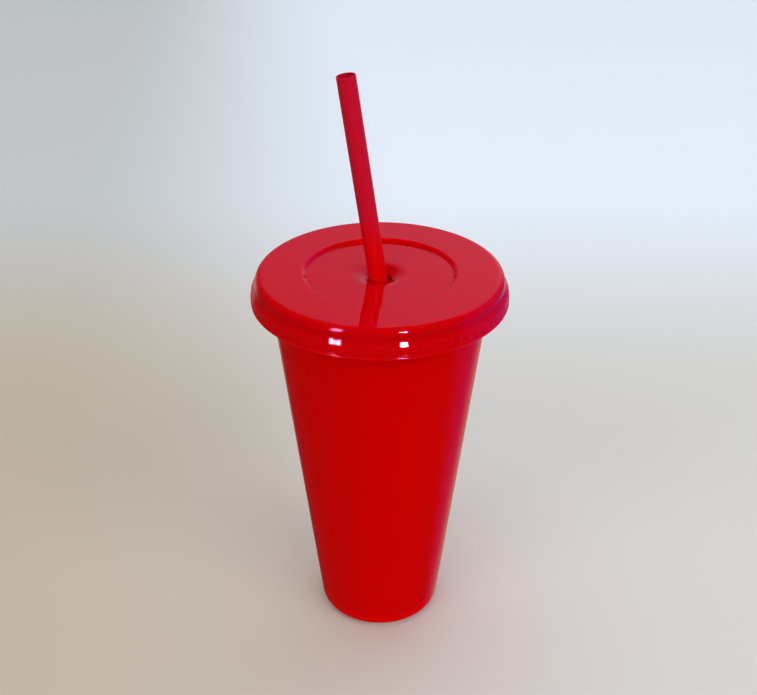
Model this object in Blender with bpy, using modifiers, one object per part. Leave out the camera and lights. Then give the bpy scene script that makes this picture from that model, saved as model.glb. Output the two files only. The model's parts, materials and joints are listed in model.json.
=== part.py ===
"""Red plastic tumbler with a press-on lid and a drinking straw, in metres, +Z up.

Three loose mouldings: the tapered cup, the one-piece lid that snaps over its rim, and the
straight straw that leans in the lid's hole. The origin is the middle of the cup's foot.
"""

import math

import bpy
from mathutils import Matrix, Vector

NAME = "tumbler_with_straw"

# Driving dimensions, in metres
GAP = 0.0003
TURN_STEPS = 60
STRAW_STEPS = 24

CUP_FOOT_RADIUS = 0.0260
CUP_FLARE = 0.1171
CUP_WALL = 0.0011
CUP_EDGE_ROUND = 0.0045
CUP_PUSH_UP = 0.00385
CUP_PUSH_UP_RADIUS = 0.0195
CUP_FLOOR_THICKNESS = 0.0015
CUP_FLOOR_ROUND = 0.0020
SHOULDER_LOW = 0.1520
SHOULDER_HIGH = 0.1545
BAND_RADIUS = 0.0478
BAND_WALL = 0.0014
CUP_BEAD_REACH = 0.0014
CUP_BEAD_HEIGHT = 0.0018
CUP_BEAD_Z = 0.1577

LID_TOP = 0.1652
LID_DECK = 0.0015
LID_WALL = 0.0013
LID_HEIGHT = 0.01155
LID_EDGE_RADIUS = 0.0500
LID_EDGE_ROUND = 0.0030
LID_STEP_DROP = 0.0043
LID_STEP_HEIGHT = 0.0021
LID_BAND_RADIUS = 0.0515
LID_BAND_FLARE = 0.10
LID_RADIUS = 0.0520
LID_HEM = 0.00175
LID_SNAP_REACH = 0.0008
LID_SNAP_HEIGHT = 0.0010
RECESS_RADIUS = 0.0310
RECESS_DEPTH = 0.0015
RECESS_SLOPE = 0.0014
DIMPLE_RADIUS = 0.0090
DIMPLE_DEPTH = 0.0020
HOLE_RADIUS = 0.00485

STRAW_RADIUS = 0.00375
STRAW_WALL = 0.0005
STRAW_LENGTH = 0.2401
STRAW_LEAN_X = -0.1435
STRAW_LEAN_Y = 0.0100
STRAW_AT_HOLE_X = -0.0007
STRAW_FOOT_Z = 0.0065

RIM_TOP = LID_TOP - LID_DECK - GAP
HOLE_TOP = LID_TOP - RECESS_DEPTH - DIMPLE_DEPTH

CUP_RED = (0.52, 0.002, 0.004)
LID_RED = (0.56, 0.003, 0.008)
STRAW_RED = (0.50, 0.004, 0.012)


def clear_scene():
    for obj in list(bpy.data.objects):
        bpy.data.objects.remove(obj, do_unlink=True)


def new_collection(name):
    made = bpy.data.collections.new(name)
    bpy.context.scene.collection.children.link(made)
    return made


def plastic(name, colour, roughness):
    """An opaque moulded plastic."""
    made = bpy.data.materials.new(name)
    made.use_nodes = True
    shader = made.node_tree.nodes["Principled BSDF"]
    shader.inputs["Base Color"].default_value = (*colour, 1.0)
    shader.inputs["Roughness"].default_value = roughness
    shader.inputs["Metallic"].default_value = 0.0
    return made


def fillet(before, corner, after, radius):
    """The arc, as (r, z) points, that rounds a corner between two straight runs."""
    into = (Vector(before) - Vector(corner)).normalized()
    out = (Vector(after) - Vector(corner)).normalized()
    half = into.angle(out) / 2
    reach = radius / math.tan(half)
    centre = Vector(corner) + (into + out).normalized() * radius / math.sin(half)
    start = Vector(corner) + into * reach - centre
    sweep = start.angle_signed(Vector(corner) + out * reach - centre)
    steps = 2 + round(radius * 1000)
    turns = [Matrix.Rotation(-sweep * i / steps, 2) for i in range(steps + 1)]
    return [tuple(centre + turn @ start) for turn in turns]


def outline(corners, closed):
    """(r, z) points through the corners (r, z, rounding), each rounded by its own radius."""
    points = []
    count = len(corners)
    for i, (r, z, rounding) in enumerate(corners):
        if rounding:
            before = corners[i - 1][:2]
            after = corners[(i + 1) % count][:2]
            points += fillet(before, (r, z), after, rounding)
        else:
            points.append((r, z))
    edges = [(i, i + 1) for i in range(len(points) - 1)]
    if closed:
        edges.append((len(points) - 1, 0))
    return points, edges


def turned(name, corners, closed, steps, material, collection):
    """A solid of revolution about its own Z from an outline that runs down its outer side."""
    points, edges = outline(corners, closed)
    mesh = bpy.data.meshes.new(name)
    mesh.from_pydata([(r, 0.0, z) for r, z in points], edges, [])
    mesh.materials.append(material)
    made = bpy.data.objects.new(name, mesh)
    collection.objects.link(made)
    screw = made.modifiers.new("turn", "SCREW")
    screw.axis = "Z"
    screw.steps = steps
    screw.render_steps = steps
    screw.use_merge_vertices = True
    screw.merge_threshold = 0.00001
    screw.use_smooth_shade = True
    return made


def cup_radius(z):
    """The cup's outer radius where its wall is straight."""
    return CUP_FOOT_RADIUS + CUP_FLARE * z


def build_cup(collection):
    """Thin tapered wall, pushed-up floor, and a stepped rim band with the bead the lid holds."""
    floor = CUP_PUSH_UP + CUP_FLOOR_THICKNESS
    inner_low = SHOULDER_LOW + CUP_WALL / 2
    inner_high = SHOULDER_HIGH + CUP_WALL / 2
    band_inner = BAND_RADIUS - BAND_WALL
    bead = BAND_RADIUS + CUP_BEAD_REACH
    bead_half = CUP_BEAD_HEIGHT / 2
    corners = [
        (0.0, floor, 0),
        (cup_radius(floor) - CUP_WALL, floor, CUP_FLOOR_ROUND),
        (cup_radius(inner_low) - CUP_WALL, inner_low, 0.0012),
        (band_inner, inner_high, 0.0012),
        (band_inner, RIM_TOP, 0.0006),
        (BAND_RADIUS, RIM_TOP, 0.0006),
        (BAND_RADIUS, CUP_BEAD_Z + CUP_BEAD_HEIGHT, 0.0004),
        (bead, CUP_BEAD_Z + bead_half, 0.0005),
        (bead, CUP_BEAD_Z - bead_half, 0.0005),
        (BAND_RADIUS, CUP_BEAD_Z - bead_half, 0),
        (BAND_RADIUS, SHOULDER_HIGH, 0.0012),
        (cup_radius(SHOULDER_LOW), SHOULDER_LOW, 0.0012),
        (cup_radius(0.0), 0.0, CUP_EDGE_ROUND),
        (CUP_PUSH_UP_RADIUS, 0.0, 0.0006),
        (CUP_PUSH_UP_RADIUS - CUP_PUSH_UP / 2, CUP_PUSH_UP, 0.0010),
        (0.0, CUP_PUSH_UP, 0),
    ]
    red = plastic("red_polypropylene_cup", CUP_RED, 0.22)
    return turned("cup", corners, False, TURN_STEPS, red, collection)


def build_lid(collection):
    """A shallow cap: stepped skirt and hem, flat top with a round recess, dimple and straw hole."""
    bottom = LID_TOP - LID_HEIGHT
    step_top = LID_TOP - LID_STEP_DROP
    band_top = step_top - LID_STEP_HEIGHT
    hem_top = bottom + LID_HEM
    snap_z = bottom + LID_SNAP_HEIGHT
    snap_top = snap_z + LID_SNAP_HEIGHT
    recess = LID_TOP - RECESS_DEPTH
    under = LID_TOP - LID_DECK
    under_recess = recess - LID_DECK

    def band_radius(z):
        return LID_BAND_RADIUS + LID_BAND_FLARE * (band_top - z)

    corners = [
        (HOLE_RADIUS, HOLE_TOP, 0.0003),
        (DIMPLE_RADIUS, recess, 0.0060),
        (RECESS_RADIUS - RECESS_SLOPE, recess, 0.0005),
        (RECESS_RADIUS, LID_TOP, 0.0005),
        (LID_EDGE_RADIUS, LID_TOP, LID_EDGE_ROUND),
        (LID_EDGE_RADIUS, step_top, 0.0024),
        (LID_BAND_RADIUS, band_top, 0.0006),
        (band_radius(hem_top), hem_top, 0),
        (LID_RADIUS, hem_top, 0.0003),
        (LID_RADIUS, bottom, 0.0004),
        (band_radius(bottom) - LID_WALL, bottom, 0.0003),
        (band_radius(snap_z) - LID_WALL - LID_SNAP_REACH, snap_z, 0.0003),
        (band_radius(snap_top) - LID_WALL, snap_top, 0),
        (LID_BAND_RADIUS - LID_WALL, band_top - LID_WALL / 2, 0.0006),
        (LID_EDGE_RADIUS - LID_WALL, step_top - LID_WALL / 2, 0.0006),
        (LID_EDGE_RADIUS - LID_WALL, under, 0.0012),
        (RECESS_RADIUS + LID_DECK / 2, under, 0),
        (RECESS_RADIUS - RECESS_SLOPE + LID_DECK / 2, under_recess, 0),
        (DIMPLE_RADIUS - LID_DECK / 2, under_recess, 0),
        (HOLE_RADIUS, HOLE_TOP - LID_DECK, 0),
    ]
    red = plastic("red_polypropylene_lid", LID_RED, 0.16)
    return turned("lid", corners, True, TURN_STEPS, red, collection)


def build_straw(collection):
    """A straight square-cut tube; its origin is the middle of its foot, on its own axis."""
    inner = STRAW_RADIUS - STRAW_WALL
    rounding = STRAW_WALL * 0.3
    corners = [
        (inner, STRAW_LENGTH, rounding),
        (STRAW_RADIUS, STRAW_LENGTH, rounding),
        (STRAW_RADIUS, 0.0, rounding),
        (inner, 0.0, rounding),
    ]
    red = plastic("red_polypropylene_straw", STRAW_RED, 0.30)
    straw = turned("straw", corners, True, STRAW_STEPS, red, collection)
    along = Vector((STRAW_LEAN_X, STRAW_LEAN_Y, 1.0))
    at_hole = Vector((STRAW_AT_HOLE_X, 0.0, HOLE_TOP))
    straw.location = at_hole + along * (STRAW_FOOT_Z - HOLE_TOP)
    straw.rotation_mode = "QUATERNION"
    straw.rotation_quaternion = along.to_track_quat("Z", "Y")
    return straw


def main():
    clear_scene()
    collection = new_collection(NAME)
    build_cup(collection)
    build_lid(collection)
    build_straw(collection)


if __name__ == "__main__":
    main()
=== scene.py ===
"""A red plastic tumbler with a press-on lid and a drinking straw: its pieces, plastics and stage.

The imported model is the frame. Each of its three solids gets a finely rounded piece of the same
size that rides on the same body, and the stage adds the floor, the light and the camera.
"""

import json
import math

import bmesh
import bpy
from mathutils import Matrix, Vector


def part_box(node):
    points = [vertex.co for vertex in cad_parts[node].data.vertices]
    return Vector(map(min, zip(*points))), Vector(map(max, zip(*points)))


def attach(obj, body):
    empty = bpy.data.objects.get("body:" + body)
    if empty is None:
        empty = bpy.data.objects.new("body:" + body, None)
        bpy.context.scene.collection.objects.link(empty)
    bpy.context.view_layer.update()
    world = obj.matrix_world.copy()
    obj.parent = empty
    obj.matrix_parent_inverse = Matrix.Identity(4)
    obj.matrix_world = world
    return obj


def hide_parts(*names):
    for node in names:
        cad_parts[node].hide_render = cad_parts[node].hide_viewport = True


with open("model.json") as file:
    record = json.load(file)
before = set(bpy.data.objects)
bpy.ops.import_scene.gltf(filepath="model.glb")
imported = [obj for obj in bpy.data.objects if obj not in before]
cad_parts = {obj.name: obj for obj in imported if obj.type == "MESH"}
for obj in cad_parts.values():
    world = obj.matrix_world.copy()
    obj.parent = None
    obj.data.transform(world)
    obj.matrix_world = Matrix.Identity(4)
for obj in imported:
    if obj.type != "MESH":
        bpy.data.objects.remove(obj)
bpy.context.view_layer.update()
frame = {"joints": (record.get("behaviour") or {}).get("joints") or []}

bl_info = {
    "name": "Tumbler with lid and straw",
    "version": (1, 0, 0),
    "blender": (4, 5, 0),
    "location": "View3D > Sidebar > Tumbler",
    "description": "Builds a press-on lid tumbler with its straw, its plastics and a plain stage",
    "category": "Add Mesh",
}

MM = 0.001
CUP_LOW, CUP_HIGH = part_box("cup")
LID_LOW, LID_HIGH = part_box("lid")
STRAW_LOW, STRAW_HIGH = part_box("straw")
STRAW_AXIS = Vector(next(j["axis"] for j in frame["joints"] if j["name"] == "straw_slide"))
SAME_PLACE = 0.02 * MM

# Light carried inside the plastics' walls: nearly all red, over some millimetres
CARRIED_SHARE = 0.85
CARRIED_COLOURS = (1.0, 0.01, 0.01)
CARRIED_REACH = 7 * MM
LEAST_SEGMENTS = 3
SEGMENT_STEP = 0.5 * MM
# Roundings of the turned outlines, from crisp mould lines to soft shoulders
CRISP = 0.3 * MM
SMALL = 0.6 * MM
SOFT = 1.2 * MM


def linear(code):
    """The linear colour of an sRGB hex value."""
    parts = [int(code[i : i + 2], 16) / 255 for i in (1, 3, 5)]
    return [p / 12.92 if p <= 0.04045 else ((p + 0.055) / 1.055) ** 2.4 for p in parts]


def size(name, description, default):
    return bpy.props.FloatProperty(
        name=name,
        description=description,
        default=default,
        subtype="DISTANCE",
        unit="LENGTH",
        precision=5,
    )


def colour(name, description, code):
    return bpy.props.FloatVectorProperty(
        name=name,
        description=description,
        default=linear(code),
        subtype="COLOR",
        min=0.0,
        max=1.0,
    )


def number(name, description, default):
    return bpy.props.FloatProperty(name=name, description=description, default=default)


def turn(name, description, degrees):
    return bpy.props.FloatProperty(
        name=name,
        description=description,
        default=math.radians(degrees),
        subtype="ANGLE",
        unit="ROTATION",
    )


class CupSizes(bpy.types.PropertyGroup):
    """Sizes and colour of the cup."""

    foot_radius: size("Foot radius", "Where the wall's line meets the floor", 26.0 * MM)
    flare: number("Flare", "How far the wall leans out for each unit of height", 0.1171)
    wall: size("Wall", "Thickness of the tapered wall", 1.1 * MM)
    edge_round: size("Foot rounding", "Radius between the wall and the foot", 4.5 * MM)
    push_up: size("Push-up", "How far the base is pushed up", 3.85 * MM)
    push_up_radius: size("Push-up radius", "Inner edge of the foot ring", 19.5 * MM)
    floor_thickness: size("Floor", "Thickness of the base", 1.5 * MM)
    shoulder_low: size("Shoulder start", "Height where the rim band starts", 152.0 * MM)
    shoulder_high: size("Shoulder end", "Height where the rim band is full", 154.5 * MM)
    band_radius: size("Rim radius", "Outer radius of the rim band", 47.8 * MM)
    band_wall: size("Rim wall", "Thickness of the rim band", 1.4 * MM)
    bead_reach: size("Bead reach", "How far the bead stands out", 1.4 * MM)
    bead_height: size("Bead height", "Height of the bead that the lid grips", 1.8 * MM)
    bead_z: size("Bead place", "Height of the middle of the bead", 157.7 * MM)
    rim_top: size("Rim top", "Height of the top of the cup", CUP_HIGH.z)
    red: colour("Red", "The cup's own colour", "#F40000")
    red_deep: colour("Deep red", "Its colour where the wall is thicker", "#EC0000")


class LidSizes(bpy.types.PropertyGroup):
    """Sizes and colour of the lid."""

    top: size("Top", "Height of the flat top", LID_HIGH.z)
    bottom: size("Bottom", "Height of the skirt's edge", LID_LOW.z)
    radius: size("Radius", "Radius of the hem, the lid's widest place", LID_HIGH.x)
    deck: size("Deck", "Thickness of the flat top", 1.5 * MM)
    wall: size("Wall", "Thickness of the skirt", 1.3 * MM)
    edge_radius: size("Edge radius", "Radius of the skirt under the top edge", 50.0 * MM)
    edge_round: size("Edge rounding", "Radius of the top edge", 3.0 * MM)
    step_drop: size("Step drop", "From the top to where the skirt steps out", 4.3 * MM)
    step_height: size("Step height", "Height of the sloped step", 2.1 * MM)
    band_radius: size("Band radius", "Radius at the top of the ribbed band", 51.5 * MM)
    band_flare: number("Band flare", "How far the band leans out going down", 0.10)
    hem: size("Hem", "Height of the bead round the edge", 1.75 * MM)
    groove: size("Hem groove", "Depth of the groove round the middle of the hem", 0.2 * MM)
    snap_reach: size("Snap reach", "How far the snap ring stands in", 0.8 * MM)
    snap_height: size("Snap height", "Height of the snap ring's halves", 1.0 * MM)
    recess_radius: size("Recess radius", "Radius of the round recess in the top", 31.0 * MM)
    recess_depth: size("Recess depth", "Depth of the recess", 1.5 * MM)
    recess_slope: size("Recess slope", "Width of the recess's sloped edge", 1.4 * MM)
    dimple_radius: size("Dimple radius", "Radius of the dimple round the hole", 9.0 * MM)
    dimple_depth: size("Dimple depth", "Depth of the dimple", 2.0 * MM)
    hole_radius: size("Hole radius", "Radius of the straw's hole", 4.85 * MM)
    rib_relief: size("Rib relief", "How far the grip ribs stand out", 0.2 * MM)
    red: colour("Red", "The lid's own colour", "#D20004")
    red_deep: colour("Deep red", "Its colour where the wall is thicker", "#CC0002")


class StrawSizes(bpy.types.PropertyGroup):
    """Sizes and colour of the straw."""

    radius: size("Radius", "Outer radius of the tube", 3.75 * MM)
    wall: size("Wall", "Thickness of the tube", 0.5 * MM)
    length: size("Length", "Length of the tube", 240.1 * MM)
    # Painted light in the straw's reds: near the lid the lid's red bounce light is painted in, and
    # towards the top a pinker painted sheen
    red: colour("Red", "The straw's own colour near the lid", "#DA0000")
    red_top_painted_sheen: colour("Upper red", "Its colour towards the top end", "#C20E28")


class StageSettings(bpy.types.PropertyGroup):
    """The floor's colours, the light and the camera."""

    # The floor's colours carry painted light: paler on the right and further back, darker in front
    # on the left
    near_left: colour("Near left", "Floor colour in front, on the left", "#BDB4A1")
    near_right: colour("Near right", "Floor colour in front, on the right", "#D1D3CC")
    far_left: colour("Far left", "Floor colour behind, on the left", "#C2C8C6")
    far_right: colour("Far right", "Floor colour behind, on the right", "#E4EFF6")
    room_front: colour("Room in front", "What the gloss shows in front", "#3C3A3C")
    room_left: colour("Room behind, left", "What the gloss shows behind, left", "#524C66")
    room_right: colour("Room behind, right", "What the gloss shows behind, right", "#CCC2DE")
    room_side: colour("Room on the right", "What the gloss shows on the right", "#6C48B0")
    room_low: colour("Room below", "What the gloss shows behind and below", "#C0A89C")
    backdrop: colour("Backdrop", "The plain wall beyond the floor's edge", "#D8DFE4")
    overhead_power: number("Overhead light", "Power of the light overhead, in watts", 125.0)
    key_power: number("Key light", "Power of the light in front on the right, in watts", 94.0)
    fill_power: number("Fill light", "Power of the light in front on the left, in watts", 75.0)
    window_glow: number("Window glow", "Watts of each square metre of the windows", 420.0)
    view_distance: size("Camera distance", "From the cup's axis to the camera", 423.0 * MM)
    view_height: size("Camera height", "Height of the camera", 372.1 * MM)
    view_side: size("Camera side", "The camera's place across", -0.55 * MM)
    view_down: turn("Camera tilt", "How far the camera looks down", 29.817)
    focal_length: number("Focal length", "In millimetres on a 36 mm frame", 55.96)


def start_ring(name, radius, height, steps, fill="NOTHING"):
    """A circle at its size and height, in edit mode with its open edge selected."""
    bpy.ops.object.select_all(action="DESELECT")
    bpy.ops.mesh.primitive_circle_add(
        vertices=steps, radius=radius, fill_type=fill, location=(0, 0, height)
    )
    bpy.ops.object.transform_apply(location=True, rotation=False, scale=False)
    piece = bpy.context.active_object
    piece.name = name
    piece.data.name = name
    bpy.ops.object.mode_set(mode="EDIT")
    bpy.ops.mesh.select_mode(type="EDGE")
    select_open_edges()
    return piece


def select_open_edges():
    bpy.ops.mesh.select_all(action="DESELECT")
    bpy.ops.mesh.select_non_manifold(
        use_wire=True,
        use_boundary=True,
        use_multi_face=False,
        use_non_contiguous=False,
        use_verts=False,
    )


def extrude_rings(rings):
    """Extrudes the selected ring, the first of the (radius, height) rings, through the rest."""
    for (radius, height, _), (next_radius, next_height, _) in zip(rings, rings[1:]):
        rise = (0, 0, next_height - height)
        bpy.ops.mesh.extrude_region_move(TRANSFORM_OT_translate={"value": rise})
        grow = next_radius / radius
        bpy.ops.transform.resize(value=(grow, grow, 1), center_override=(0, 0, next_height))


def select_ring(piece, radius, height):
    """Selects the edges that lie round the ring of that radius and height."""
    mesh = bmesh.from_edit_mesh(piece.data)
    for vert in mesh.verts:
        off_radius = abs(math.hypot(vert.co.x, vert.co.y) - radius)
        vert.tag = max(off_radius, abs(vert.co.z - height)) < SAME_PLACE
    for edge in mesh.edges:
        edge.select_set(all(v.tag for v in edge.verts))
    bmesh.update_edit_mesh(piece.data)


def round_rings(piece, rings, closed):
    """Bevels each ring that has a rounding to that radius."""
    count = len(rings)
    for i, (radius, height, rounding) in enumerate(rings):
        if not rounding or (not closed and i in (0, count - 1)):
            continue
        here = Vector((radius, height))
        before = Vector(rings[i - 1][:2]) - here
        after = Vector(rings[(i + 1) % count][:2]) - here
        bend = math.pi - before.angle(after)
        bpy.ops.mesh.select_all(action="DESELECT")
        select_ring(piece, radius, height)
        bpy.ops.mesh.bevel(
            offset_type="OFFSET",
            offset=rounding * math.tan(bend / 2),
            segments=LEAST_SEGMENTS + round(rounding / SEGMENT_STEP),
            affect="EDGES",
        )


def finish_piece(piece, body, material):
    """Smooth shading that keeps the flat faces flat, the material, and the body it rides on."""
    bpy.ops.mesh.select_all(action="SELECT")
    bpy.ops.mesh.normals_make_consistent(inside=False)
    bpy.ops.object.mode_set(mode="OBJECT")
    bpy.ops.object.shade_smooth()
    weighted = piece.modifiers.new("flat_faces_first", "WEIGHTED_NORMAL")
    weighted.weight = 60
    bpy.ops.object.modifier_apply(modifier=weighted.name)
    piece.data.materials.clear()
    piece.data.materials.append(material)
    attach(piece, body)
    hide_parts(body)


def add_node(tree, kind, settings, links=()):
    """A node of that kind, with its settings or input values and the links to its inputs."""
    made = tree.nodes.new(kind)
    for key, value in settings.items():
        if isinstance(key, str) and key in made.bl_rna.properties:
            setattr(made, key, value)
        else:
            made.inputs[key].default_value = value
    for key, source in links:
        tree.links.new(source, made.inputs[key])
    return made


def new_plastic(name, constants):
    """An empty plastic material with the shader's own constant values, and its Object place."""
    material = bpy.data.materials.new(name)
    material.use_nodes = True
    tree = material.node_tree
    shader = tree.nodes["Principled BSDF"]
    for key, value in constants.items():
        shader.inputs[key].default_value = value
    place = add_node(tree, "ShaderNodeTexCoord", {}).outputs["Object"]
    return material, tree, shader, place


def moulded_polypropylene(sizes):
    """Injection moulded polypropylene off a plain polished tool: an even, slightly soft gloss.

    The eye gets a crimson sheen down the side, a colour that hardly changes where the wall is
    thicker, and faint drag lines that run down from rim to foot.
    """
    material, tree, shader, place = new_plastic(
        "moulded_polypropylene",
        {
            "IOR": 1.2,
            "Specular Tint": (*linear("#FF3868"), 1.0),
            "Subsurface Weight": CARRIED_SHARE,
            "Subsurface Radius": CARRIED_COLOURS,
            "Subsurface Scale": CARRIED_REACH,
        },
    )
    # Patches of thicker wall, about 30 mm across and drawn out down the wall
    stretch = add_node(tree, "ShaderNodeMapping", {"Scale": (1.0, 1.0, 0.35)}, [("Vector", place)])
    patches = add_node(
        tree,
        "ShaderNodeTexNoise",
        {"Scale": 1 / (30 * MM), "Detail": 2.0},
        [("Vector", stretch.outputs["Vector"])],
    )
    red = add_node(
        tree,
        "ShaderNodeMix",
        {"data_type": "RGBA", 6: (*sizes.red_deep, 1.0), 7: (*sizes.red, 1.0)},
        [(0, patches.outputs["Fac"])],
    )
    tree.links.new(red.outputs[2], shader.inputs["Base Color"])
    # Drag lines from the mould, about 1.2 mm apart round the wall and 60 mm long
    drag = add_node(tree, "ShaderNodeMapping", {"Scale": (1.0, 1.0, 0.02)}, [("Vector", place)])
    lines = add_node(
        tree,
        "ShaderNodeTexNoise",
        {"Scale": 1 / (1.2 * MM), "Detail": 2.0},
        [("Vector", drag.outputs["Vector"])],
    )
    gloss = add_node(
        tree,
        "ShaderNodeMapRange",
        {"From Min": 0.3, "From Max": 0.7, "To Min": 0.12, "To Max": 0.17},
        [("Value", lines.outputs["Fac"])],
    )
    tree.links.new(gloss.outputs["Result"], shader.inputs["Roughness"])
    # Skin ripple of a few microns, about 3 mm across
    ripple = add_node(
        tree, "ShaderNodeTexNoise", {"Scale": 1 / (3 * MM), "Detail": 1.0}, [("Vector", place)]
    )
    bump = add_node(
        tree,
        "ShaderNodeBump",
        {"Strength": 0.25, "Distance": 0.02 * MM},
        [("Height", ripple.outputs["Fac"])],
    )
    tree.links.new(bump.outputs["Normal"], shader.inputs["Normal"])
    return material


def polished_polypropylene(sizes):
    """Injection moulded polypropylene off a mirror-polished tool: a clear gloss.

    The eye gets sharp window glints on the skirt, the straw mirrored in the flat top, and a
    very fine grain in the sheen.
    """
    material, tree, shader, place = new_plastic(
        "polished_polypropylene",
        {
            "IOR": 1.49,
            "Specular Tint": (*linear("#FF9CEC"), 1.0),
            "Subsurface Weight": CARRIED_SHARE,
            "Subsurface Radius": CARRIED_COLOURS,
            "Subsurface Scale": CARRIED_REACH,
        },
    )
    patches = add_node(
        tree,
        "ShaderNodeTexNoise",
        {"Scale": 1 / (40 * MM), "Detail": 2.0},
        [("Vector", place)],
    )
    red = add_node(
        tree,
        "ShaderNodeMix",
        {"data_type": "RGBA", 6: (*sizes.red_deep, 1.0), 7: (*sizes.red, 1.0)},
        [(0, patches.outputs["Fac"])],
    )
    tree.links.new(red.outputs[2], shader.inputs["Base Color"])
    # Handling haze in patches about 15 mm across
    haze = add_node(
        tree,
        "ShaderNodeTexNoise",
        {"Scale": 1 / (15 * MM), "Detail": 3.0},
        [("Vector", place)],
    )
    gloss = add_node(
        tree,
        "ShaderNodeMapRange",
        {"From Min": 0.3, "From Max": 0.7, "To Min": 0.006, "To Max": 0.014},
        [("Value", haze.outputs["Fac"])],
    )
    tree.links.new(gloss.outputs["Result"], shader.inputs["Roughness"])
    # The real grain is under 0.1 mm; 0.7 mm is the finest that shows
    grain = add_node(
        tree, "ShaderNodeTexNoise", {"Scale": 1 / (0.7 * MM), "Detail": 1.0}, [("Vector", place)]
    )
    bump = add_node(
        tree,
        "ShaderNodeBump",
        {"Strength": 0.1, "Distance": 0.005 * MM},
        [("Height", grain.outputs["Fac"])],
    )
    tree.links.new(bump.outputs["Normal"], shader.inputs["Normal"])
    return material


def extruded_polypropylene(sizes):
    """Extruded polypropylene tube, cooled in air: satin, with the die's fine lengthwise lines.

    The eye gets a soft crimson sheen, and painted light in the red: a painted sheen makes it
    pinker towards the top end.
    """
    material, tree, shader, place = new_plastic(
        "extruded_polypropylene",
        {
            "IOR": 1.25,
            "Specular Tint": (*linear("#FF80D0"), 1.0),
        },
    )
    # The pattern stands on the straw's own axis, so the lines run along it
    upright = STRAW_AXIS.rotation_difference(Vector((0, 0, 1))).to_euler()
    along = add_node(
        tree, "ShaderNodeMapping", {"Rotation": tuple(upright)}, [("Vector", place)]
    )
    thin = add_node(
        tree,
        "ShaderNodeMapping",
        {"Scale": (1.0, 1.0, 0.01)},
        [("Vector", along.outputs["Vector"])],
    )
    # Streaks about 3 mm wide, where the die left the wall thinner
    streaks = add_node(
        tree,
        "ShaderNodeTexNoise",
        {"Scale": 1 / (3 * MM), "Detail": 2.0},
        [("Vector", thin.outputs["Vector"])],
    )
    # Painted light along the straw: a pinker painted sheen towards the top end, and a brighter
    # pure red near the lid that is the lid's red bounce light, painted
    height = add_node(tree, "ShaderNodeSeparateXYZ", {}, [("Vector", place)])
    rise = add_node(
        tree,
        "ShaderNodeMapRange",
        {"From Min": 176 * MM, "From Max": 194 * MM},
        [("Value", height.outputs["Z"])],
    )
    # The die streaks' own tone, added to the painted light's ramp along the height
    streaks_and_painted_light = add_node(
        tree,
        "ShaderNodeMath",
        {"operation": "MULTIPLY_ADD", 1: 0.12, "use_clamp": True},
        [(0, streaks.outputs["Fac"]), (2, rise.outputs["Result"])],
    )
    red = add_node(
        tree,
        "ShaderNodeMix",
        {"data_type": "RGBA", 6: (*sizes.red, 1.0), 7: (*sizes.red_top_painted_sheen, 1.0)},
        [(0, streaks_and_painted_light.outputs["Value"])],
    )
    tree.links.new(red.outputs[2], shader.inputs["Base Color"])
    # Die lines, drawn 0.5 mm apart so that they show; the real ones are about 0.1 mm
    lines = add_node(
        tree,
        "ShaderNodeTexNoise",
        {"Scale": 1 / (0.5 * MM), "Detail": 1.0},
        [("Vector", thin.outputs["Vector"])],
    )
    gloss = add_node(
        tree,
        "ShaderNodeMapRange",
        {"From Min": 0.3, "From Max": 0.7, "To Min": 0.3, "To Max": 0.4},
        [("Value", lines.outputs["Fac"])],
    )
    tree.links.new(gloss.outputs["Result"], shader.inputs["Roughness"])
    bump = add_node(
        tree,
        "ShaderNodeBump",
        {"Strength": 0.3, "Distance": 0.02 * MM},
        [("Height", lines.outputs["Fac"])],
    )
    tree.links.new(bump.outputs["Normal"], shader.inputs["Normal"])
    return material


class TUMBLER_OT_build_cup(bpy.types.Operator):
    """Build the tapered cup with its rim band, bead and pushed-up base"""

    bl_idname = "tumbler.build_cup"
    bl_label = "Build cup"

    STEPS = 288

    def execute(self, context):
        s = context.scene.tumbler_cup
        floor = s.push_up + s.floor_thickness

        def wall(z):
            return s.foot_radius + s.flare * z

        inner_low = s.shoulder_low + s.wall / 2
        inner_high = s.shoulder_high + s.wall / 2
        bead = s.band_radius + s.bead_reach
        bead_low = s.bead_z - s.bead_height / 2
        bead_high = s.bead_z + s.bead_height / 2
        ring_middle = 3 * MM
        push_up_round = 1.0 * MM
        bead_round = 0.5 * MM
        bead_top_round = 0.4 * MM
        floor_round = 2.0 * MM
        rings = [
            (ring_middle, s.push_up, 0),
            (s.push_up_radius - s.push_up / 2, s.push_up, push_up_round),
            (s.push_up_radius, 0.0, SMALL),
            (s.foot_radius, 0.0, s.edge_round),
            (wall(s.shoulder_low), s.shoulder_low, SOFT),
            (s.band_radius, s.shoulder_high, SOFT),
            (s.band_radius, bead_low, 0),
            (bead, bead_low, bead_round),
            (bead, bead_high, bead_round),
            (s.band_radius, bead_high + s.bead_height / 2, bead_top_round),
            (s.band_radius, s.rim_top, SMALL),
            (s.band_radius - s.band_wall, s.rim_top, SMALL),
            (s.band_radius - s.band_wall, inner_high, SOFT),
            (wall(inner_low) - s.wall, inner_low, SOFT),
            (wall(floor) - s.wall, floor, floor_round),
            (ring_middle, floor, 0),
        ]
        piece = start_ring("cup_moulding", ring_middle, s.push_up, self.STEPS, "TRIFAN")
        extrude_rings(rings)
        bpy.ops.mesh.extrude_region_move()
        bpy.ops.mesh.merge(type="CENTER")
        round_rings(piece, rings, closed=False)
        finish_piece(piece, "cup", moulded_polypropylene(s))
        return {"FINISHED"}


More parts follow.
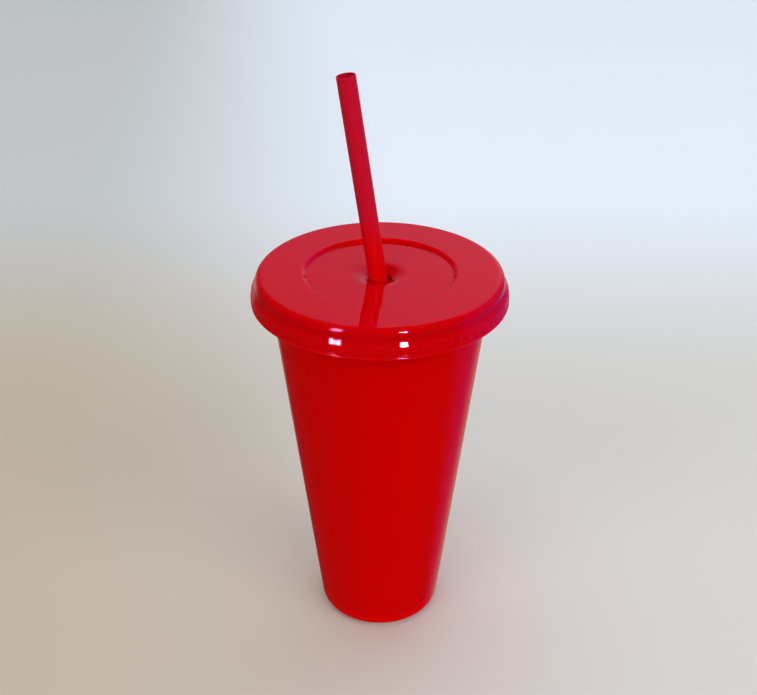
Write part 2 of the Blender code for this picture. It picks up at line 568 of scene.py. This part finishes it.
class TUMBLER_OT_build_lid(bpy.types.Operator):
    """Build the lid with its recess, straw hole, stepped skirt, grip ribs and hem"""

    bl_idname = "tumbler.build_lid"
    bl_label = "Build lid"

    RIBS = 72
    STEPS_PER_RIB = 10
    RAISED_STEPS = 2

    def execute(self, context):
        s = context.scene.tumbler_lid
        step_top = s.top - s.step_drop
        band_top = step_top - s.step_height
        hem_top = s.bottom + s.hem
        hem_middle = s.bottom + s.hem / 2
        rib_top = band_top - 0.45 * MM
        rib_bottom = hem_top + 0.35 * MM
        rib_end = 0.15 * MM
        snap_z = s.bottom + s.snap_height
        recess = s.top - s.recess_depth
        under = s.top - s.deck
        hole_top = recess - s.dimple_depth

        def band(z):
            return s.band_radius + s.band_flare * (band_top - z)

        dimple_round = 12.0 * MM
        neck_round = 2.4 * MM
        groove_edge_round = 0.15 * MM
        groove_round = 0.1 * MM
        hem_round = 0.4 * MM
        rings = [
            (s.hole_radius, hole_top, CRISP),
            (s.dimple_radius, recess, dimple_round),
            (s.recess_radius - s.recess_slope, recess, CRISP),
            (s.recess_radius, s.top, SMALL),
            (s.edge_radius, s.top, s.edge_round),
            (s.edge_radius, step_top, neck_round),
            (s.band_radius, band_top, SMALL),
            (band(rib_top + rib_end), rib_top + rib_end, 0),
            (band(rib_top), rib_top, 0),
            (band(rib_bottom), rib_bottom, 0),
            (band(rib_bottom - rib_end), rib_bottom - rib_end, 0),
            (band(hem_top), hem_top, 0),
            (s.radius, hem_top, CRISP),
            (s.radius, hem_middle + s.groove, groove_edge_round),
            (s.radius - s.groove, hem_middle, groove_round),
            (s.radius, hem_middle - s.groove, groove_edge_round),
            (s.radius, s.bottom, hem_round),
            (band(s.bottom) - s.wall, s.bottom, CRISP),
            (band(snap_z) - s.wall - s.snap_reach, snap_z, CRISP),
            (band(snap_z + s.snap_height) - s.wall, snap_z + s.snap_height, 0),
            (s.band_radius - s.wall, band_top - s.wall / 2, SMALL),
            (s.edge_radius - s.wall, step_top - s.wall / 2, SMALL),
            (s.edge_radius - s.wall, under, SOFT),
            (s.recess_radius + s.deck / 2, under, 0),
            (s.recess_radius - s.recess_slope + s.deck / 2, recess - s.deck, 0),
            (s.dimple_radius - s.deck / 2, recess - s.deck, 0),
            (s.hole_radius, hole_top - s.deck, 0),
        ]
        steps = self.RIBS * self.STEPS_PER_RIB
        piece = start_ring("lid_moulding", s.hole_radius, hole_top, steps)
        extrude_rings(rings)
        select_open_edges()
        bpy.ops.mesh.bridge_edge_loops()
        round_rings(piece, rings, closed=True)
        self.raise_ribs(piece, s, rib_bottom, rib_top, steps)
        finish_piece(piece, "lid", polished_polypropylene(s))
        return {"FINISHED"}

    def raise_ribs(self, piece, s, low, high, steps):
        """Pulls the first columns of points in every rib's width outwards."""
        outer_side = s.band_radius - s.wall / 2
        bpy.ops.mesh.select_mode(type="VERT")
        bpy.ops.mesh.select_all(action="DESELECT")
        mesh = bmesh.from_edit_mesh(piece.data)
        for vert in mesh.verts:
            if not low - SAME_PLACE < vert.co.z < high + SAME_PLACE:
                continue
            if math.hypot(vert.co.x, vert.co.y) < outer_side:
                continue
            angle = math.atan2(vert.co.y, vert.co.x)
            if round(angle / (2 * math.pi) * steps) % self.STEPS_PER_RIB < self.RAISED_STEPS:
                vert.select_set(True)
        mesh.select_flush_mode()
        bmesh.update_edit_mesh(piece.data)
        grow = 1 + s.rib_relief / s.band_radius
        bpy.ops.transform.resize(value=(grow, grow, 1), center_override=(0, 0, 0))


class TUMBLER_OT_build_straw(bpy.types.Operator):
    """Build the straight, square-cut straw, leaning in the lid's hole"""

    bl_idname = "tumbler.build_straw"
    bl_label = "Build straw"

    STEPS = 96

    def execute(self, context):
        s = context.scene.tumbler_straw
        inner = s.radius - s.wall
        cut = 0.15 * MM
        rings = [
            (inner, s.length, cut),
            (s.radius, s.length, cut),
            (s.radius, 0.0, cut),
            (inner, 0.0, cut),
        ]
        piece = start_ring("drinking_straw", inner, s.length, self.STEPS)
        extrude_rings(rings)
        select_open_edges()
        bpy.ops.mesh.bridge_edge_loops()
        round_rings(piece, rings, closed=True)
        bpy.ops.object.mode_set(mode="OBJECT")
        piece.rotation_mode = "QUATERNION"
        piece.rotation_quaternion = Vector((0, 0, 1)).rotation_difference(STRAW_AXIS)
        reach = [s.radius * math.sqrt(1 - a * a) for a in STRAW_AXIS]
        piece.location = (
            STRAW_HIGH.x - reach[0],
            STRAW_LOW.y + reach[1],
            STRAW_LOW.z + reach[2],
        )
        bpy.ops.object.transform_apply(location=True, rotation=True, scale=False)
        bpy.ops.object.mode_set(mode="EDIT")
        finish_piece(piece, "straw", extruded_polypropylene(s))
        return {"FINISHED"}


class TUMBLER_OT_build_stage(bpy.types.Operator):
    """Build the plain pale floor, the soft lights, the room around and the camera"""

    bl_idname = "tumbler.build_stage"
    bl_label = "Build stage"

    FLOOR_WIDTH = 5.0
    WINDOW_HEIGHT = 0.26
    WINDOW_DISTANCE = 1.6
    WHITE = "#FFFFFF"
    PALE = "#FFFCFA"
    WARM = "#FFF0DC"

    def execute(self, context):
        s = context.scene.tumbler_stage
        bpy.ops.object.select_all(action="DESELECT")
        bpy.ops.mesh.primitive_plane_add(size=self.FLOOR_WIDTH, location=(0, 0, 0))
        floor = context.active_object
        floor.name = "stage_floor"
        floor.data.materials.append(self.matt_paper(s))
        floor.visible_glossy = False
        self.room(context.scene, s)
        # Large soft lamps that the gloss doesn't show: size, distance, azimuth, elevation
        for name, power, extent, distance, azimuth, elevation in (
            ("overhead", s.overhead_power, (6.0, 5.0), 3.4, 180, 68),
            ("key", s.key_power, (3.5, 3.0), 4.0, 42, 30),
            ("fill", s.fill_power, (3.5, 3.0), 4.0, -35, 28),
        ):
            self.lamp(name, power, extent, distance, azimuth, elevation, self.WHITE, "diffuse")
        # Window panes that only the gloss shows: width, azimuth, elevation
        for name, width, azimuth, elevation, code in (
            ("window_right", 0.15, 22.5, 40.3, self.PALE),
            ("window_left_a", 0.06, -45.0, 37.5, self.WARM),
            ("window_left_b", 0.02, -41.3, 37.5, self.WARM),
            ("window_left_c", 0.06, -37.6, 37.5, self.WARM),
        ):
            extent = (width, self.WINDOW_HEIGHT)
            power = s.window_glow * width * self.WINDOW_HEIGHT
            distance = self.WINDOW_DISTANCE
            self.lamp(name, power, extent, distance, azimuth, elevation, code, "gloss")
        bpy.ops.object.camera_add(
            location=(s.view_side, -s.view_distance, s.view_height),
            rotation=(math.pi / 2 - s.view_down, 0, 0),
        )
        camera = context.active_object
        camera.name = "camera"
        camera.data.sensor_width = 36
        camera.data.lens = s.focal_length
        context.scene.camera = camera
        context.scene.view_settings.view_transform = "Standard"
        return {"FINISHED"}

    def lamp(self, name, power, extent, distance, azimuth, elevation, code, seen_in):
        """A rectangular lamp that faces the lid, turned round it from the front in degrees."""
        turn_by, lift = math.radians(azimuth), math.radians(elevation)
        middle = Vector((0, 0, LID_HIGH.z))
        towards = Vector(
            (
                math.sin(turn_by) * math.cos(lift),
                -math.cos(turn_by) * math.cos(lift),
                math.sin(lift),
            )
        )
        bpy.ops.object.light_add(
            type="AREA",
            location=middle + towards * distance,
            rotation=towards.to_track_quat("Z", "Y").to_euler(),
        )
        lamp = bpy.context.active_object
        lamp.name = name
        lamp.data.shape = "RECTANGLE"
        lamp.data.size, lamp.data.size_y = extent
        lamp.data.energy = power
        lamp.data.color = linear(code)
        lamp.visible_camera = False
        lamp.visible_glossy = seen_in == "gloss"
        lamp.visible_diffuse = seen_in == "diffuse"

    def matt_paper(self, s):
        """Matt pale paper, warmer in front and cooler behind, with painted light: paler on the
        right and further back, darker in front on the left.
        """
        material = bpy.data.materials.new("matt_paper")
        material.use_nodes = True
        tree = material.node_tree
        shader = tree.nodes["Principled BSDF"]
        shader.inputs["Roughness"].default_value = 0.9
        shader.inputs["Specular IOR Level"].default_value = 0.1
        place = add_node(tree, "ShaderNodeTexCoord", {}).outputs["Object"]
        split = add_node(tree, "ShaderNodeSeparateXYZ", {}, [("Vector", place)])
        smooth = {"interpolation_type": "SMOOTHSTEP"}
        aslant = add_node(
            tree,
            "ShaderNodeMath",
            {"operation": "MULTIPLY_ADD", 1: 0.12},
            [(0, split.outputs["Y"]), (2, split.outputs["X"])],
        )
        # Metres across the floor, and further down metres away from the eye
        across = add_node(
            tree,
            "ShaderNodeMapRange",
            {**smooth, "From Min": -0.20, "From Max": 0.10},
            [("Value", aslant.outputs["Value"])],
        )
        away = add_node(
            tree,
            "ShaderNodeMapRange",
            {**smooth, "From Min": 0.15, "From Max": 0.5},
            [("Value", split.outputs["Y"])],
        )
        mixes = []
        for left, right in ((s.near_left, s.near_right), (s.far_left, s.far_right)):
            mixes.append(
                add_node(
                    tree,
                    "ShaderNodeMix",
                    {"data_type": "RGBA", 6: (*left, 1.0), 7: (*right, 1.0)},
                    [(0, across.outputs["Result"])],
                )
            )
        floor = add_node(
            tree,
            "ShaderNodeMix",
            {"data_type": "RGBA"},
            [(0, away.outputs["Result"]), (6, mixes[0].outputs[2]), (7, mixes[1].outputs[2])],
        )
        tree.links.new(floor.outputs[2], shader.inputs["Base Color"])
        return material

    def room(self, scene, s):
        """The light of the room around: dim in front, pale behind and brighter on the right.

        Its patterns go by direction, from -1 to 1 across (X), away (Y) and up (Z).
        """
        world = bpy.data.worlds.new("room")
        scene.world = world
        world.use_nodes = True
        tree = world.node_tree
        place = add_node(tree, "ShaderNodeTexCoord", {}).outputs["Generated"]
        split = add_node(tree, "ShaderNodeSeparateXYZ", {}, [("Vector", place)])
        smooth = {"interpolation_type": "SMOOTHSTEP"}
        across = add_node(
            tree,
            "ShaderNodeMapRange",
            {**smooth, "From Min": -0.6, "From Max": 0.6},
            [("Value", split.outputs["X"])],
        )
        steepness = add_node(
            tree, "ShaderNodeMath", {"operation": "ABSOLUTE"}, [(0, split.outputs["Z"])]
        )
        low_behind = add_node(
            tree,
            "ShaderNodeMath",
            {"operation": "MULTIPLY_ADD", 1: -0.75},
            [(0, steepness.outputs["Value"]), (2, split.outputs["Y"])],
        )
        # The pale part reaches further forward on the right
        right_behind = add_node(
            tree,
            "ShaderNodeMath",
            {"operation": "MULTIPLY_ADD", 1: 0.7},
            [(0, split.outputs["X"]), (2, low_behind.outputs["Value"])],
        )
        away = add_node(
            tree,
            "ShaderNodeMapRange",
            {**smooth, "From Min": 0.0, "From Max": 0.3},
            [("Value", right_behind.outputs["Value"])],
        )
        beside = add_node(
            tree,
            "ShaderNodeMapRange",
            {**smooth, "From Min": 0.35, "From Max": 0.65},
            [("Value", split.outputs["X"])],
        )
        below = add_node(
            tree,
            "ShaderNodeMapRange",
            {**smooth, "From Min": 0.1, "From Max": -0.1},
            [("Value", split.outputs["Z"])],
        )
        behind = add_node(
            tree,
            "ShaderNodeMix",
            {"data_type": "RGBA", 6: (*s.room_left, 1.0), 7: (*s.room_right, 1.0)},
            [(0, across.outputs["Result"])],
        )
        behind_low = add_node(
            tree,
            "ShaderNodeMix",
            {"data_type": "RGBA", 7: (*s.room_low, 1.0)},
            [(0, below.outputs["Result"]), (6, behind.outputs[2])],
        )
        behind_or_beside = add_node(
            tree,
            "ShaderNodeMix",
            {"data_type": "RGBA", 7: (*s.room_side, 1.0)},
            [(0, beside.outputs["Result"]), (6, behind_low.outputs[2])],
        )
        around = add_node(
            tree,
            "ShaderNodeMix",
            {"data_type": "RGBA", 6: (*s.room_front, 1.0)},
            [(0, away.outputs["Result"]), (7, behind_or_beside.outputs[2])],
        )
        # The gloss shows the room, and past the floor's edge the eye sees a plain backdrop
        ray = add_node(tree, "ShaderNodeLightPath", {})
        seen = add_node(
            tree,
            "ShaderNodeMix",
            {"data_type": "RGBA", 7: (*s.backdrop, 1.0)},
            [(0, ray.outputs["Is Camera Ray"]), (6, around.outputs[2])],
        )
        tree.links.new(seen.outputs[2], tree.nodes["Background"].inputs["Color"])


class TUMBLER_PT_tumbler(bpy.types.Panel):
    """Lists the tumbler's pieces and stage"""

    bl_label = "Tumbler"
    bl_idname = "TUMBLER_PT_tumbler"
    bl_space_type = "VIEW_3D"
    bl_region_type = "UI"
    bl_category = "Tumbler"

    def draw(self, context):
        for operator in OPERATORS:
            self.layout.operator(operator.bl_idname)


GROUPS = {
    "tumbler_cup": CupSizes,
    "tumbler_lid": LidSizes,
    "tumbler_straw": StrawSizes,
    "tumbler_stage": StageSettings,
}
OPERATORS = (
    TUMBLER_OT_build_cup,
    TUMBLER_OT_build_lid,
    TUMBLER_OT_build_straw,
    TUMBLER_OT_build_stage,
)


def register():
    for made in (*GROUPS.values(), *OPERATORS, TUMBLER_PT_tumbler):
        bpy.utils.register_class(made)
    for name, group in GROUPS.items():
        setattr(bpy.types.Scene, name, bpy.props.PointerProperty(type=group))


def unregister():
    for name in GROUPS:
        delattr(bpy.types.Scene, name)
    for made in reversed((*GROUPS.values(), *OPERATORS, TUMBLER_PT_tumbler)):
        bpy.utils.unregister_class(made)


def main():
    register()
    bpy.ops.tumbler.build_cup()
    bpy.ops.tumbler.build_lid()
    bpy.ops.tumbler.build_straw()
    bpy.ops.tumbler.build_stage()


if __name__ == "__main__":
    main()
